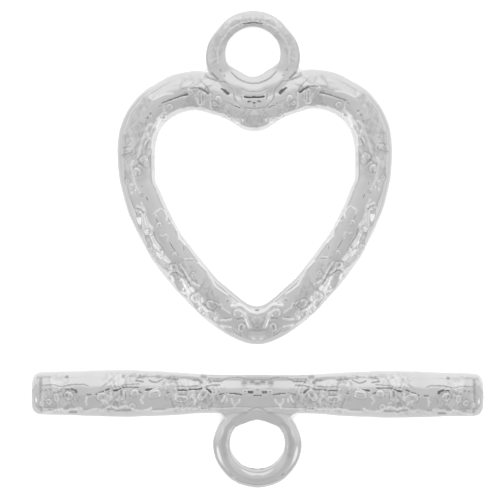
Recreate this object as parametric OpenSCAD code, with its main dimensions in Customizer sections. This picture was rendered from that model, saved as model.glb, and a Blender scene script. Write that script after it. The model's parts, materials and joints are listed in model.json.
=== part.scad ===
// Heart toggle clasp: a heart-shaped ring and a T-shaped bar, two separate castings.
// +X is the photo's right, +Y its top, +Z points up out of the table they lie on.

/* [Heart ring] */
// Width of the ring's wire, seen from above
wire_w = 2.08; // [1.8:0.02:2.4]
// Depth of the ring's wire, flattened front and back
wire_depth = 2.0; // [1.7:0.05:2.05]
// Distance from the heart's middle down to the wire's centre at the tip
tip_y = 7.365; // [7:0.005:7.8]
// Turn of the heart on the table, anticlockwise
heart_turn = 0.8; // [-5:0.1:5]

/* [Heart outline] */
// Bend radius of the wire's centre round the tip
tip_bend_r = 1.99; // [1.7:0.01:2.4]
// Angle that the tip bend turns through on each side
tip_turn = 36.3; // [34:0.1:38]
// Bend radius of the long lower flank
flank_bend_r = 14.3; // [13:0.1:16]
// Angle that the lower flank turns through
flank_turn = 33.2; // [31:0.1:35]
// Bend radius of the heart's widest side
side_bend_r = 6.35; // [6:0.05:7]
// Angle that the side turns through
side_turn = 30.3; // [28:0.1:32]
// Bend radius of the lobe
lobe_bend_r = 3.17; // [3:0.01:3.4]
// Angle that the lobe turns through
lobe_turn = 93.9; // [92:0.1:96]
// Bend radius of the slope from the lobe down to the notch
slope_bend_r = 7; // [6:0.1:8]
// Radius of the rounded point that the notch pushes into the heart
notch_r = 1.39; // [1.2:0.01:1.5]

/* [Loop on the heart] */
// Outer radius of the loop
heart_loop_r = 2.52; // [2.3:0.01:2.8]
// Distance from the heart's middle up to the loop's centre
heart_loop_y = 7.3; // [7.1:0.01:7.5]
// Radius of the loop's hole
heart_hole_r = 1.42; // [1.3:0.01:1.5]
// How far the hole sits above the loop's centre
heart_hole_shift = 0.13; // [0:0.01:0.2]
// Thickness of the loop from front to back
heart_loop_t = 1.3; // [1.1:0.05:1.5]

/* [Toggle bar] */
// Length of the bar over its rounded ends
bar_length = 24.64; // [22:0.02:27]
// Radius of the bar at the waist, where its loop grows out
waist_r = 1.02; // [0.95:0.01:1.1]
// Radius of the bar at the two swellings
swell_r = 1.28; // [1.2:0.01:1.4]
// Radius of the bar next to the rounded ends
end_r = 1.13; // [1:0.01:1.2]
// Rounding of the bar's end corners
end_round = 0.45; // [0.3:0.05:0.6]

/* [Loop on the bar] */
// Outer radius of the loop
bar_loop_r = 2.36; // [2.2:0.01:2.6]
// Distance from the bar's centre line to the loop's centre
bar_loop_reach = 2.83; // [2.7:0.01:3]
// Radius of the loop's hole
bar_hole_r = 1.46; // [1.35:0.01:1.5]
// Thickness of the loop from front to back
bar_loop_t = 1.2; // [1:0.05:1.4]

// Half width of the web that joins the loop to the bar, at the bar and at the loop
web_half_w = [2.02, 1.55]; // [1:0.01:3]
// Thickness of that web from front to back
web_t = 0.7; // [0.5:0.05:0.9]
// How far the web starts inside the bar, and how far below the bar it narrows
web_ends = [0.2, 0.45]; // [0.1:0.05:0.8]

/* [Hammered finish] */
// Depth of the round hammer marks on the front
mark_depth = 0.08; // [0.04:0.01:0.1]

// Width of the shallow pocket below the heart's loop
pocket_w = 1.2; // [1:0.05:1.3]
// Height of that pocket
pocket_h = 0.5; // [0.4:0.05:0.6]
// How far the pocket sits above the middle of the notch's rounded point
pocket_rise = 0.35; // [0.3:0.05:0.4]

/* [Laying out] */
// Distance from the heart's middle to the bar's centre line
apart = 11.14; // [10.8:0.01:14]
// How far the heart's middle lies to the left of the bar's
heart_shift = 0.115; // [-1:0.005:1]

/* [Hidden] */
$fn = 72;
wire_r = wire_w / 2;
heart_z = wire_depth / 2;
bar_half = bar_length / 2;
// Rounding from the loops' faces down into their holes
heart_hole_round = heart_loop_r - heart_loop_t / 2 - heart_hole_r;
bar_hole_round = bar_loop_r - bar_loop_t / 2 - bar_hole_r;

// The wire's centre line from the tip up the right side: bend radius, angle turned
BEND_R = 0;
TURN = 1;
bends = [
    [tip_bend_r, tip_turn],
    [flank_bend_r, flank_turn],
    [side_bend_r, side_turn],
    [lobe_bend_r, lobe_turn],
];
// Heading, start and centre of each bend; the heading is 0 along +X at the tip
function heading(i) = i == 0 ? 0 : heading(i - 1) + bends[i - 1][TURN];
function bend_start(i) = i == 0 ? [0, -tip_y]
    : bend_centre(i - 1) + bends[i - 1][BEND_R] * [sin(heading(i)), -cos(heading(i))];
function bend_centre(i) = left_of(bend_start(i), heading(i), bends[i][BEND_R]);
function left_of(p, h, r) = p + r * [-sin(h), cos(h)];
lobe_end_heading = heading(3) + lobe_turn;
lobe_end = bend_centre(3) + lobe_bend_r * [sin(lobe_end_heading), -cos(lobe_end_heading)];
slope_centre = left_of(lobe_end, lobe_end_heading, slope_bend_r);
// The notch's rounded point touches the slope's inner edge
slope_to_notch = slope_bend_r - wire_r + notch_r;
notch_y = slope_centre.y + sqrt(slope_to_notch ^ 2 - slope_centre.x ^ 2);
slope_turn = atan2(notch_y - slope_centre.y, -slope_centre.x) + 90 - lobe_end_heading;
// Every other bend is a hair thinner and runs a little way into the bends beside it
lap = 0.05;
lap_step = 0.005;
notch_proud = 0.03;

// Shape of the bar from its middle to the right: distance along it, 0 for the waist's radius
// to 1 for the swelling's
swell_rows = [
    [0, 0],
    [2.8, 0.15],
    [4.1, 0.5],
    [5.5, 0.81],
    [7.8, 1],
    [10, 0.77],
];
// The same up to the rounded end: distance along it, radius
bar_rows = concat(
    [for (row = swell_rows) [row.x, waist_r + row.y * (swell_r - waist_r)]],
    [[bar_half - end_round, end_r]]
);
steps_per_row = 5;
// Steps in which the rims, mouths and ends are rounded, and where the mouths end
rim_step = 15;
mouth_end = 75;
function spline(a, b, c, d, t) =
    0.5 * (2 * b + (c - a) * t + (2 * a - 5 * b + 4 * c - d) * t ^ 2
    + (3 * b - a - 3 * c + d) * t ^ 3);
function bar_row(i) = i < 0 ? [-bar_rows[-i].x, bar_rows[-i].y]
    : bar_rows[min(i, len(bar_rows) - 1)];
bar_side = [
    for (i = [0 : len(bar_rows) - 2], s = [0 : steps_per_row - 1])
        spline(bar_row(i - 1), bar_row(i), bar_row(i + 1), bar_row(i + 2), s / steps_per_row)
];
bar_end = [
    for (a = [90 : -rim_step : 0])
        [bar_half - end_round + end_round * cos(a), end_r - end_round + end_round * sin(a)]
];
bar_right = concat(bar_side, bar_end, [[bar_half, 0]]);
last = len(bar_right) - 1;
bar_left = [for (i = [last : -1 : 1]) [-bar_right[i].x, bar_right[i].y]];

// Hammer marks on one half of the heart: place on it, the bend that it is on, ball radius
heart_marks = [
    [0.75, -7.45, 0, 0.7],
    [1.6, -6.25, 1, 0.55],
    [3.05, -5.75, 1, 0.8],
    [3.6, -4.7, 1, 0.55],
    [4.35, -4.15, 1, 0.6],
    [4.3, -3.1, 1, 0.5],
    [5.55, -2.85, 1, 0.8],
    [5.35, -1.75, 1, 0.6],
    [6.45, -0.95, 2, 0.6],
    [6, 0.1, 2, 0.5],
    [6.75, 0.95, 2, 0.8],
    [6.2, 1.8, 2, 0.55],
    [7, 2.3, 3, 0.6],
    [5.9, 3.2, 3, 0.7],
    [5.3, 4.5, 3, 0.8],
    [4.2, 5.6, 3, 0.55],
    [3.2, 4.8, 3, 0.5],
    [2.2, 4.65, 4, 0.65],
    [1.2, 3.95, 4, 0.5],
];
// The same on one half of the bar: distance along it, angle from the front, ball radius
bar_marks = [
    [1, 15, 0.6],
    [1.8, -25, 0.5],
    [2.95, 0, 0.8],
    [3.7, 35, 0.55],
    [4.3, -20, 0.6],
    [5.3, 15, 0.5],
    [5.9, -40, 0.7],
    [6.6, 0, 0.6],
    [7.4, 35, 0.6],
    [7.9, -15, 0.8],
    [8.8, 15, 0.55],
    [9.4, -35, 0.6],
    [10.1, 0, 0.7],
    [10.9, 30, 0.6],
    [11.3, -20, 0.5],
];

// The bar's loop hangs down until its rim rests on the table
rim_reach = bar_loop_reach + bar_loop_r - bar_loop_t / 2;
loop_droop = asin((swell_r - bar_loop_t / 2) / rim_reach);

// The middle of the box round both pieces is at X 0, Y 0
heart_top = heart_loop_y * cos(heart_turn) + heart_loop_r;
bar_bottom = rim_reach * cos(loop_droop) + bar_loop_t / 2;
heart_y = (bar_bottom + apart - heart_top) / 2;
bar_y = heart_y - apart;

// Cross-section of the heart's wire: round, a little flat front and back
module wire_section(step) {
    intersection() {
        circle(r = wire_r - step);
        square([2 * wire_w, wire_depth - 2 * step], center = true);
    }
}

// One bend of the wire about a centre, from a heading, turning left
module bend(centre, start_heading, bend_r, turn, lapped) {
    lap_turn = lapped ? lap / bend_r * 180 / PI : 0;
    translate([centre.x, centre.y, 0])
        rotate([0, 0, start_heading - 90 - lap_turn])
            rotate_extrude(angle = turn + 2 * lap_turn)
                translate([bend_r, 0])
                    wire_section(lapped ? lap_step : 0);
}

// The bend at the heart's tip, which both halves share
module tip() {
    bend([0, tip_bend_r - tip_y], -tip_turn, tip_bend_r, 2 * tip_turn, false);
}

// The right half of the heart, from the tip bend to the notch
module heart_half() {
    for (i = [1 : len(bends) - 1])
        bend(bend_centre(i), heading(i), bends[i][BEND_R], bends[i][TURN], i % 2 == 1);
    bend(slope_centre, lobe_end_heading, slope_bend_r, slope_turn, false);
}

// The rounded point of the notch, where the two halves meet; its edge stands a hair proud
module notch() {
    half_depth = wire_depth / 2 - lap_step;
    edge = [
        for (a = [-90 : rim_step : 90])
            [notch_r + notch_proud - half_depth * (1 - cos(a)), half_depth * sin(a)]
    ];
    translate([0, notch_y, 0])
        rotate_extrude()
            polygon(concat([[0, -half_depth]], edge, [[0, half_depth]]));
}

// Disc with a full round rim, from which a loop is bored
module loop_blank(loop_r, loop_t) {
    rim_r = loop_t / 2;
    rim = [
        for (a = [-90 : rim_step : 90])
            [loop_r - rim_r + rim_r * cos(a), rim_r * sin(a)]
    ];
    rotate_extrude()
        polygon(concat([[0, -rim_r]], rim, [[0, rim_r]]));
}

// What is bored out of a loop: a straight hole whose mouths are rounded
module loop_bore(hole_r, round_r, loop_t) {
    land = loop_t - 2 * round_r;
    mouth = [
        for (a = [0 : rim_step : mouth_end])
            [hole_r + round_r * (1 - cos(a)), land / 2 + round_r * sin(a)]
    ];
    lip = mouth[len(mouth) - 1] + round_r * [sin(mouth_end), cos(mouth_end)];
    upper = concat(mouth, [lip, [lip.x, loop_t], [0, loop_t]]);
    lower = [for (i = [len(upper) - 1 : -1 : 0]) [upper[i].x, -upper[i].y]];
    rotate_extrude()
        polygon(concat(lower, upper));
}

// Balls that leave the hammer marks on one half of the heart
module heart_mark_balls() {
    for (mark = heart_marks) {
        place = [mark[0], mark[1]];
        on_bend = mark[2];
        ball_r = mark[3];
        bend_r = on_bend < len(bends) ? bends[on_bend][BEND_R] : slope_bend_r;
        centre = on_bend < len(bends) ? bend_centre(on_bend) : slope_centre;
        outward = (place - centre) / norm(place - centre);
        lean = asin((norm(place - centre) - bend_r) / wire_r);
        reach = wire_r - mark_depth + ball_r;
        ball = centre + (bend_r + reach * sin(lean)) * outward;
        translate([ball.x, ball.y, reach * cos(lean)])
            sphere(r = ball_r);
    }
}

// Balls that leave the hammer marks on one half of the bar
module bar_mark_balls() {
    for (mark = bar_marks) {
        along = mark[0];
        lean = mark[1];
        ball_r = mark[2];
        reach = lookup(along, bar_rows) - mark_depth + ball_r;
        translate([along, reach * sin(lean), reach * cos(lean)])
            sphere(r = ball_r);
    }
}

// Shallow pocket in the front, between the loop and the notch
module pocket() {
    translate([-pocket_w / 2, notch_y + pocket_rise, heart_z - mark_depth])
        cube([pocket_w, pocket_h, wire_depth]);
}

// Flared web between the bar and its loop
module bar_web() {
    web_top = web_ends[0] - waist_r;
    web_bottom = -waist_r - web_ends[1];
    linear_extrude(height = web_t, center = true)
        polygon([
            [-web_half_w[0], web_top],
            [web_half_w[0], web_top],
            [web_half_w[0], -waist_r],
            [web_half_w[1], web_bottom],
            [-web_half_w[1], web_bottom],
            [-web_half_w[0], -waist_r],
        ]);
}

module heart_ring() {
    color("silver")
        translate([-heart_shift, heart_y, heart_z])
            rotate([0, 0, heart_turn]) {
                difference() {
                    union() {
                        tip();
                        heart_half();
                        mirror([1, 0, 0])
                            heart_half();
                        notch();
                    }
                    heart_mark_balls();
                    mirror([1, 0, 0])
                        heart_mark_balls();
                    pocket();
                }
                difference() {
                    translate([0, heart_loop_y, 0])
                        loop_blank(heart_loop_r, heart_loop_t);
                    translate([0, heart_loop_y + heart_hole_shift, 0])
                        loop_bore(heart_hole_r, heart_hole_round, heart_loop_t);
                }
            }
}

module toggle_bar() {
    color("silver")
        translate([0, bar_y, swell_r]) {
            difference() {
                rotate([0, 90, 0])
                    rotate_extrude()
                        polygon([for (p = concat(bar_left, bar_right)) [p.y, p.x]]);
                bar_mark_balls();
                mirror([1, 0, 0])
                    bar_mark_balls();
            }
            rotate([loop_droop, 0, 0])
                difference() {
                    union() {
                        translate([0, -bar_loop_reach, 0])
                            loop_blank(bar_loop_r, bar_loop_t);
                        bar_web();
                    }
                    translate([0, -bar_loop_reach, 0])
                        loop_bore(bar_hole_r, bar_hole_round, bar_loop_t);
                }
        }
}

heart_ring();
toggle_bar();
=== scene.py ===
import json
import math

import bpy
import numpy as np
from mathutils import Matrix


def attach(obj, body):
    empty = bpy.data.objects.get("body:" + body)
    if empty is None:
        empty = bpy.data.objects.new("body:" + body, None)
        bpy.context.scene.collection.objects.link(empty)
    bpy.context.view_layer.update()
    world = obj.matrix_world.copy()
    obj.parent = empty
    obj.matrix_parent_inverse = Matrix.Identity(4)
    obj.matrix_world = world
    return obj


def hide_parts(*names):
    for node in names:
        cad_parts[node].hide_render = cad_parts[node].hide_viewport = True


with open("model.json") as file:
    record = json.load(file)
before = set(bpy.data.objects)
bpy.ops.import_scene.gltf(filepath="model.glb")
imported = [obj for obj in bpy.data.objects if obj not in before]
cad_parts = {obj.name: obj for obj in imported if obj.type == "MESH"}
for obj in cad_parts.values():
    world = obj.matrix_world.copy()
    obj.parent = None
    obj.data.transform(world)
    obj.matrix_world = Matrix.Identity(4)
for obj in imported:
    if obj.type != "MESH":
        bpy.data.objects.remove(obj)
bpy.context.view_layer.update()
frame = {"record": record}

# Sizes are in millimetres, as a caster gives them, and turn into metres as each mesh is made
MM = 0.001

# Heart ring: a round wire bent to a heart, as bend radius and angle from the tip to the lobe
WIRE_R = 1.02
WIRE_BACK = 1.0
WIRE_LEAN = 0.2
TIP_Y = 7.365
HEART_BENDS = [
    (1.99, 36.3),
    (14.3, 33.2),
    (6.35, 30.3),
    (3.17, 93.9),
]
SLOPE_BEND_R = 7.0
NOTCH_R = 1.39
NOTCH_FILLET = 0.12
HEART_TURN = math.radians(0.8)

# Loop on the heart: its crest is a ring, with a round outer flank and a steeper inner one
HEART_LOOP_R = 2.54
HEART_LOOP_Y = 7.3
HEART_HOLE_R = 1.5
HEART_LOOP_SIDE = -0.035
HEART_HOLE_SHIFT = 0.13
HEART_CREST_R = 1.95
HEART_HOLE_RISE = 0.14
HEART_LOOP_T = 1.3
# How much the loop thickens toward its foot, front and back, from where and over what length
HEART_FOOT_RISE = 0.27
HEART_FOOT_FROM = 0.6
HEART_FOOT_REACH = 1.2
# Flats of the loops' holes: distance of the foot, distance of the slanted sides, and their slant
HEART_HOLE_FLATS = (1.22, 1.39, 0.637)
BAR_HOLE_FLATS = (1.41, 1.44, 0.36)

# Flats and swellings of the loops' rims: angle from +Y in degrees, amount, reach in degrees
HEART_LOOP_UNEVEN = [
    (50, -0.08, 16),
    (88, 0.05, 20),
]
BAR_LOOP_UNEVEN = [
    (88, 0.06, 24),
]

# Toggle bar: distance from its middle and radius there
BAR_HALF = 12.32
BAR_TURN = math.radians(-0.2)
BAR_RISE = 0.035
BAR_ROWS = [
    (0, 1.02),
    (2.8, 1.06),
    (4.1, 1.15),
    (5.5, 1.23),
    (7.8, 1.28),
    (10, 1.22),
    (11.87, 1.17),
]
BAR_WAIST_R = 1.02
BAR_END_ROUND = 0.45

# Loop on the bar, with the flared web that joins them
BAR_LOOP_R = 2.36
BAR_LOOP_REACH = 2.83
BAR_HOLE_R = 1.53
BAR_CREST_R = 1.82
BAR_HOLE_RISE = 0.1
BAR_LOOP_T = 1.2
# Half width of the web at the bar and where its flare ends, the flare's length, its thickness, and
# how far it stays clear of the hole
BAR_WEB_HALF_W = (2.02, 1.5)
BAR_WEB_FLARE = 0.45
BAR_WEB_T = 0.7
BAR_WEB_CLEAR = 0.15

# How softly the castings' parts flow into each other
LOOP_FILLET = 0.16
WEB_FILLET = 0.18
# Softness of edges: a loop's upright walls, the corners of its hole, the web, the heart's flat back
RIM_SOFT = 0.025
FOOT_SOFT = 0.1
SLANT_SOFT = 0.12
WEB_SIDE_SOFT = 0.15
WEB_END_SOFT = 0.1
BACK_SOFT = 0.03
# How far the dome of a loop would reach past its rim and into its hole, as factors
OUTER_SPREAD = 1.2
INNER_SPREAD = 1.7
# Roundness of a loop's crest: 2 is an ellipse, less is sharper
CREST_POWER = 1.7
# The dome's distance is divided by its slope, but by no less than this at its middle
LEAST_SLOPE = 0.3

# Size of one mesh cell on each casting
HEART_CELL = 0.163
BAR_CELL = 0.13
# The boxes in which the castings are meshed, each in its own frame
HEART_BOX = ((-8.1, -8.9, -1.3), (8.1, 10.2, 1.3))
BAR_BOX = ((-12.7, -5.5, -1.6), (12.7, 1.6, 1.6))
# Cells are split finer along the crest, which is where they face up more than this, where the
# relief marks them, and where the casting bends sharply, by the cosine of the angle within a cell,
# on faces that face no further down than this
FINE_FACING = 0.87
FINE_BEND = 0.985
FINE_LOWEST = -0.3
FINE_PARTS = 4
# Points are spread evenly in this many rounds, and move this share of the way in each
EVEN_ROUNDS = 4
EVEN_SHARE = 0.6
# The square of a field's slope counts as no less than this, so that no point is thrown far
LEAST_STEEP = 0.05
# Rough height of the castings' crests over their middles
HEART_CREST_Z = 1.02
BAR_CREST_Z = 1.2

# The photo: millimetres to one of its 500 px, the heart's mirror axis and the bar's centre on it
PHOTO_SIDE = 500
PX = 15 / 274
HEART_AXIS_PX = (254.9, 190.0)
BAR_MIDDLE_PX = (257.0, 393.5)
# Point below the camera, and its height over the plane in which the photo was measured
CAMERA_XY = (-0.41, -0.014)
PHOTO_PLANE_Z = 1.0
CAMERA_HEIGHT = 200.0
# The dark shade overhead, as the Y of its direction, and half its spread along Y and X
SHADE_Y = 0.12
SHADE_HALF = (0.031, 0.046)


def smooth_min(a, b, reach):
    """The lower of two distances, rounded where they are within reach of each other."""
    share = np.clip(0.5 + 0.5 * (b - a) / reach, 0, 1)
    return b + (a - b) * share - reach * share * (1 - share)


def smooth_max(a, b, reach):
    """The higher of two distances, rounded where they are within reach of each other."""
    return -smooth_min(-a, -b, reach)


def turned(a, b, angle):
    """Coordinates a, b of a point after the frame turns by an angle."""
    return a * math.cos(angle) + b * math.sin(angle), b * math.cos(angle) - a * math.sin(angle)


def mount_place(name):
    """Place of one of the record's mounts, in millimetres."""
    mount = next(m for m in frame["record"]["mounts"] if m["name"] == name)
    return np.array(mount["pos_m"]) / MM, np.array(mount["axis"], float)


heart_hole, _ = mount_place("heart_loop")
bar_hole, bar_hole_axis = mount_place("bar_loop")
loop_top = HEART_LOOP_Y + HEART_HOLE_SHIFT
heart_middle = heart_hole + loop_top * np.array([math.sin(HEART_TURN), -math.cos(HEART_TURN), 0])
bar_droop = math.asin(-bar_hole_axis[1])
bar_middle = bar_hole + BAR_LOOP_REACH * np.array([0, math.cos(bar_droop), math.sin(bar_droop)])
bar_middle += (0, BAR_RISE, 0)


def heart_path():
    """Each bend of the heart's wire: centre, radius, heading at its start and end, length before it."""
    place = np.array([0, -TIP_Y])
    heading = 0.0
    length = 0.0
    path = []
    for radius, turn in HEART_BENDS:
        centre = place + radius * np.array([-math.sin(heading), math.cos(heading)])
        end = heading + math.radians(turn)
        path.append((centre, radius, heading, end, length))
        place = centre + radius * np.array([math.sin(end), -math.cos(end)])
        length += radius * math.radians(turn)
        heading = end
    centre = place + SLOPE_BEND_R * np.array([-math.sin(heading), math.cos(heading)])
    reach = SLOPE_BEND_R - WIRE_R + NOTCH_R
    notch_y = centre[1] + math.sqrt(reach ** 2 - centre[0] ** 2)
    end = math.atan2(notch_y - centre[1], -centre[0]) + math.pi / 2
    path.append((centre, SLOPE_BEND_R, heading, end, length))
    wire_end = centre + SLOPE_BEND_R * np.array([math.sin(end), -math.cos(end)])
    return path, wire_end, notch_y


HEART_PATH, WIRE_END, NOTCH_Y = heart_path()
FAR = 9.0


def wire_offset(x, y):
    """Distance outward from the wire's centre line on the right half, and length along it."""
    offset = np.full(np.broadcast(x, y).shape, FAR)
    along = np.zeros_like(offset)
    for centre, radius, start, end, before in HEART_PATH:
        dx = x - centre[0]
        dy = y - centre[1]
        heading = (np.arctan2(dx, -dy) + math.pi / 2) % (2 * math.pi) - math.pi / 2
        here = np.hypot(dx, dy) - radius
        slack = 1e-4
        better = (heading >= start - slack) & (heading <= end + slack) & (abs(here) < abs(offset))
        offset = np.where(better, here, offset)
        along = np.where(better, before + radius * (heading - start), along)
    past_end = np.hypot(x - WIRE_END[0], y - WIRE_END[1])
    offset = np.where(past_end < abs(offset), -past_end, offset)
    return offset, along


# Where the heart's edge is uneven: length along the wire, side (1 outer, -1 inner), amount, reach
HEART_UNEVEN = [
    (16, 1, 0.05, 3.0),
    (7, 1, 0.03, 2.5),
    (17.5, 1, 0.06, 0.9),
    (15.7, 1, -0.06, 0.5),
    (13.5, 1, 0.03, 1.0),
    (10.9, 1, -0.045, 1.2),
    (6.5, 1, 0.035, 0.9),
    (2.8, 1, 0.03, 0.7),
    (0.9, 1, -0.05, 0.5),
    (10.4, -1, -0.11, 0.5),
    (5.5, -1, 0.045, 1.1),
    (3.4, -1, -0.04, 0.5),
]


def wire_half(x, y, z):
    """Distance to the right half of the heart's wire."""
    offset, along = wire_offset(x, y)
    radius = np.full_like(offset, WIRE_R)
    for place, side, amount, reach in HEART_UNEVEN:
        facing = np.clip(0.5 + 0.5 * side * offset / WIRE_R, 0, 1)
        radius += amount * facing * np.exp(-((along - place) / reach) ** 2)
    # The wire's crest leans inward, over the heart's opening
    return np.sqrt((offset + WIRE_LEAN * z) ** 2 + z ** 2) - radius


def heart_wire(x, y, z):
    """Distance to the heart's wire: both halves, and the rounded point where they meet."""
    side = abs(x)
    near = wire_half(side, y, z)
    over_axis = np.where(y > 0, wire_half(-side, y, z), FAR)
    both = smooth_min(near, over_axis, NOTCH_FILLET)
    # The rounded point of the notch
    out = np.hypot(x, y - NOTCH_Y) - (NOTCH_R - WIRE_BACK)
    point = np.where(out > 0, np.sqrt(np.maximum(out, 0) ** 2 + z ** 2), abs(z)) - WIRE_BACK
    return smooth_min(both, point, NOTCH_FILLET)


def loop(x, y, z, outer_r, crest_r, hole_r, hole_y, half_t):
    """Distance to a cast loop round the origin: domed, with an upright wall at its rim and its hole."""
    away = np.hypot(x, y)
    out = away - crest_r
    half_w = np.where(out > 0, OUTER_SPREAD * (outer_r - crest_r), INNER_SPREAD * (crest_r - hole_r))
    q = abs(out) / half_w
    height = z / half_t
    slope = np.hypot(CREST_POWER * q ** (CREST_POWER - 1) / half_w, 2 * height / half_t)
    dome = (q ** CREST_POWER + height ** 2 - 1) / np.maximum(slope, LEAST_SLOPE)
    hole = hole_r - np.hypot(x, y - hole_y)
    return smooth_max(dome, np.maximum(away - outer_r, hole), RIM_SOFT)


def loop_rim(x, y, radius, uneven):
    """Outer radius of a loop in the direction of x, y, with its flats and swellings."""
    angle = np.degrees(np.arctan2(abs(x), y))
    for place, amount, reach in uneven:
        radius = radius + amount * np.exp(-((angle - place) / reach) ** 2)
    return radius


def flat_sided_hole(x, y, round_r, foot, slant_foot, slant):
    """Radius of a hole toward x, y: round, but cut by a foot at -Y and two slanted sides."""
    away = np.maximum(np.hypot(x, y), 1e-6)
    down = np.maximum(-y / away, 1e-3)
    to_slant = np.maximum(slant * abs(x) / away - y / away, 1e-3)
    return smooth_min(smooth_min(round_r, foot / down, FOOT_SOFT), slant_foot / to_slant, SLANT_SOFT)


def heart_loop(x, y, z):
    """The heart's loop, whose hole narrows above the notch."""
    ly = y - HEART_LOOP_Y
    x = x - HEART_LOOP_SIDE
    hole_r = flat_sided_hole(x, ly - HEART_HOLE_RISE, HEART_HOLE_R, *HEART_HOLE_FLATS)
    outer_r = loop_rim(x, ly, HEART_LOOP_R, HEART_LOOP_UNEVEN)
    foot = np.clip((-HEART_FOOT_FROM - ly) / HEART_FOOT_REACH, 0, 1)
    half_t = HEART_LOOP_T / 2 + HEART_FOOT_RISE * foot ** 2 * (3 - 2 * foot)
    return loop(x, ly, z, outer_r, HEART_CREST_R, hole_r, HEART_HOLE_RISE, half_t)


def heart_body(x, y, z):
    """Distance to the bare heart casting, in its own frame."""
    body = smooth_min(heart_wire(x, y, z), heart_loop(x, y, z), LOOP_FILLET)
    return smooth_max(body, -WIRE_BACK - z, BACK_SOFT)


def spline_rows(rows, steps=24):
    """A smooth line through rows of place and size, mirrored at its start."""
    first = (-rows[1][0], rows[1][1])
    ends = [first, *rows, rows[-1]]
    line = []
    for i in range(1, len(ends) - 2):
        a, b, c, d = (np.array(ends[i + k], float) for k in (-1, 0, 1, 2))
        for t in np.arange(steps) / steps:
            curve = 2 * b + (c - a) * t + (2 * a - 5 * b + 4 * c - d) * t ** 2
            line.append(0.5 * (curve + (3 * b - a - 3 * c + d) * t ** 3))
    line.append(np.array(rows[-1], float))
    return np.array(line)


BAR_LINE = spline_rows(BAR_ROWS)


def bar_rod(x, y, z):
    """Distance to the bar itself, with its rounded ends."""
    radius = np.interp(abs(x), BAR_LINE[:, 0], BAR_LINE[:, 1])
    out = np.hypot(y, z) - radius + BAR_END_ROUND
    past = abs(x) - BAR_HALF + BAR_END_ROUND
    corner = np.hypot(np.maximum(out, 0), np.maximum(past, 0))
    return corner + np.minimum(np.maximum(out, past), 0) - BAR_END_ROUND


def bar_loop(x, y, z):
    """The bar's loop, tilted down to the table, with the flared web that joins it to the bar."""
    y, z = turned(y, z, bar_droop)
    ly = y + BAR_LOOP_REACH
    hole_r = flat_sided_hole(x, BAR_HOLE_RISE - ly, BAR_HOLE_R, *BAR_HOLE_FLATS)
    outer_r = loop_rim(x, ly, BAR_LOOP_R, BAR_LOOP_UNEVEN)
    ring = loop(x, ly, z, outer_r, BAR_CREST_R, hole_r, BAR_HOLE_RISE, BAR_LOOP_T / 2)
    down = np.clip((-BAR_WAIST_R - y) / BAR_WEB_FLARE, 0, 1)
    half_w = BAR_WEB_HALF_W[0] + (BAR_WEB_HALF_W[1] - BAR_WEB_HALF_W[0]) * down
    ends = np.maximum(-BAR_WAIST_R - BAR_WEB_FLARE - y, y)
    hole = BAR_HOLE_R + BAR_WEB_CLEAR - np.hypot(x, ly - BAR_HOLE_RISE)
    flare = smooth_max(abs(x) - half_w, abs(z) - BAR_WEB_T / 2, WEB_SIDE_SOFT)
    flare = smooth_max(smooth_max(flare, ends, WEB_END_SOFT), hole, WEB_END_SOFT)
    return smooth_min(ring, flare, WEB_FILLET)


def bar_body(x, y, z):
    """Distance to the bare toggle bar, in its own frame."""
    return smooth_min(bar_rod(x, y, z), bar_loop(x, y, z), WEB_FILLET)


def net_over(field, low, high, cell):
    """Quads over the zero surface of a field: one vertex in each grid cell that the surface crosses."""
    low = np.array(low, float)
    counts = np.ceil((np.array(high) - low) / cell).astype(int) + 1
    grid = [low[i] + cell * np.arange(counts[i]) for i in range(3)]
    x, y = np.meshgrid(grid[0], grid[1], indexing="ij")
    inside = np.stack([field(x, y, np.full_like(x, z)) < 0 for z in grid[2]], axis=2)
    corners = sum(
        inside[i:counts[0] - 1 + i, j:counts[1] - 1 + j, k:counts[2] - 1 + k].astype(int)
        for i in (0, 1) for j in (0, 1) for k in (0, 1)
    )
    crossed = (corners > 0) & (corners < 8)
    number = np.full(crossed.shape, -1)
    number[crossed] = np.arange(crossed.sum())
    points = low + (np.argwhere(crossed) + 0.5) * cell
    quads = []
    for axis in range(3):
        u, v = (axis + 1) % 3, (axis + 2) % 3
        near = np.take(inside, np.arange(counts[axis] - 1), axis)
        far = np.take(inside, np.arange(1, counts[axis]), axis)
        edges = np.argwhere(near != far)
        leaving = near[tuple(edges.T)]
        ring = []
        for du, dv in ((0, 0), (1, 0), (1, 1), (0, 1)):
            cellwise = edges.copy()
            cellwise[:, u] -= 1 - du
            cellwise[:, v] -= 1 - dv
            ring.append(number[tuple(cellwise.T)])
        ring = np.stack(ring, axis=1)
        ring[~leaving] = ring[~leaving][:, ::-1]
        quads.append(ring)
    return points, np.concatenate(quads)


def gradient(field, points, step=0.004):
    """Slope of a field at points, by small differences."""
    slopes = []
    for axis in range(3):
        shift = np.zeros(3)
        shift[axis] = step
        ahead = field(*(points + shift).T)
        behind = field(*(points - shift).T)
        slopes.append((ahead - behind) / (2 * step))
    return np.stack(slopes, axis=1)


def drop_onto(field, points, rounds, cell):
    """Moves points straight onto the zero surface of a field."""
    for _ in range(rounds):
        slope = gradient(field, points)
        steep = np.maximum((slope ** 2).sum(1), LEAST_STEEP)
        move = -(field(*points.T) / steep)[:, None] * slope
        size = np.linalg.norm(move, axis=1, keepdims=True)
        points = points + move * np.minimum(1, cell / np.maximum(size, 1e-9))
    return points


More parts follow.
